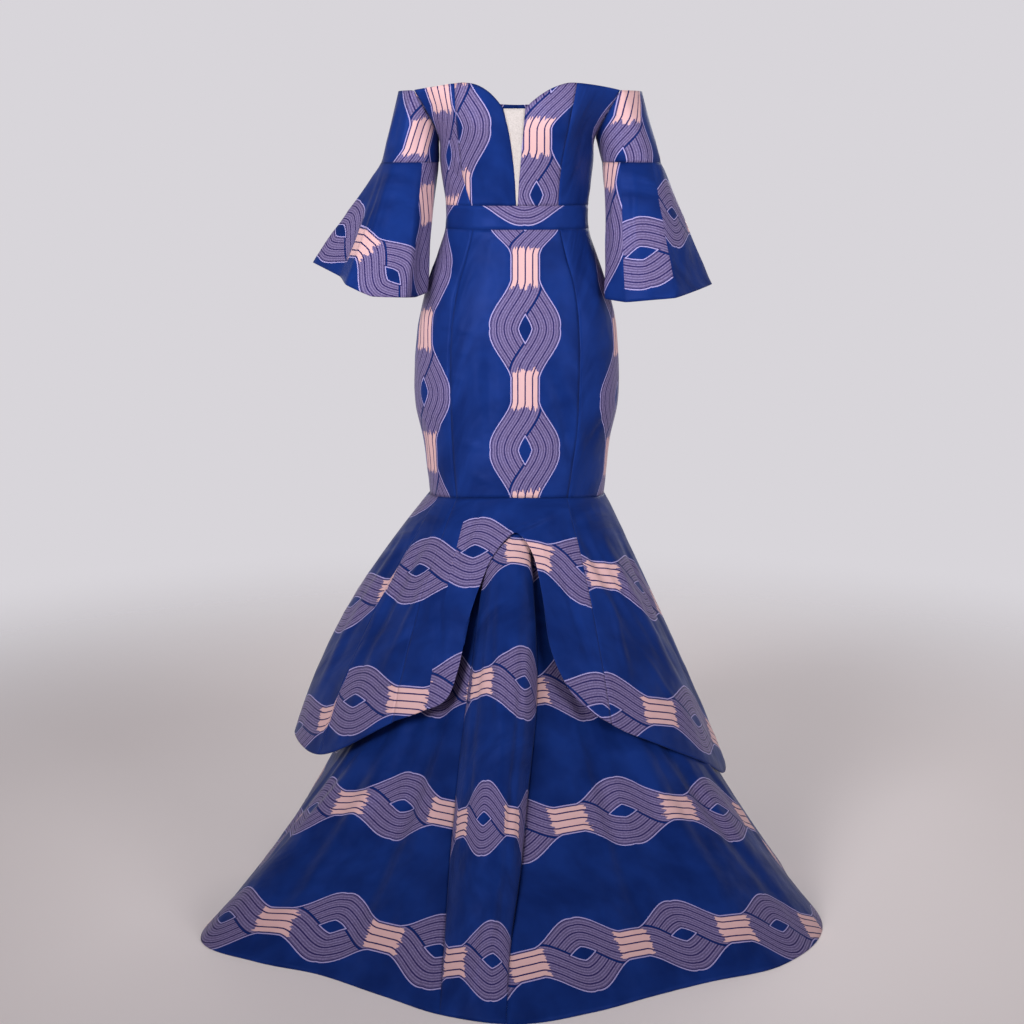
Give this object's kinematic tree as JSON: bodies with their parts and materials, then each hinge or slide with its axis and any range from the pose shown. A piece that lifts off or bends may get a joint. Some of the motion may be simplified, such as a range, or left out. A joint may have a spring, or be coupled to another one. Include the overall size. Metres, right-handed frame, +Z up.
{
  "type": "off-the-shoulder mermaid maxi dress",
  "caption": "Off-the-shoulder maxi dress with a sweetheart neckline, mesh plunge, bell sleeves, fitted sheath and a tiered trumpet skirt that spreads on the floor.",
  "frame": {"origin": "middle of the waistband, on the dress's axis", "axes": "+Z up, -Y the front of the dress, +X the wearer's left"},
  "size_m": [0.9891, 1.0747, 1.322],
  "materials": {
    "waxed_cotton": "crisp waxed cotton with a soft sheen, royal blue with a mauve and pink twisted rope print",
    "power_mesh": "fine matte off-white stretch mesh"
  },
  "bodies": {
    "root": {"bodice_front_centre_right": "waxed_cotton", "bodice_front_centre_left": "waxed_cotton", "bodice_front_side_right": "waxed_cotton", "bodice_front_side_left": "waxed_cotton", "bodice_back_right": "waxed_cotton", "bodice_back_left": "waxed_cotton", "plunge_mesh": "power_mesh", "waistband_front": "waxed_cotton", "waistband_back_right": "waxed_cotton", "waistband_back_left": "waxed_cotton", "sheath_front_centre": "waxed_cotton", "sheath_front_side_right": "waxed_cotton", "sheath_front_side_left": "waxed_cotton", "sheath_back_right": "waxed_cotton", "sheath_back_left": "waxed_cotton", "upper_tier_front_centre": "waxed_cotton", "upper_tier_front_right": "waxed_cotton", "upper_tier_front_left": "waxed_cotton", "upper_tier_back_right": "waxed_cotton", "upper_tier_back_left": "waxed_cotton", "lower_tier_front_centre": "waxed_cotton", "lower_tier_front_right": "waxed_cotton", "lower_tier_front_left": "waxed_cotton", "lower_tier_back_right": "waxed_cotton", "lower_tier_back_left": "waxed_cotton", "sleeve_right": "waxed_cotton", "sleeve_left": "waxed_cotton", "bell_right": "waxed_cotton", "bell_left": "waxed_cotton"}
  },
  "joints": []
}
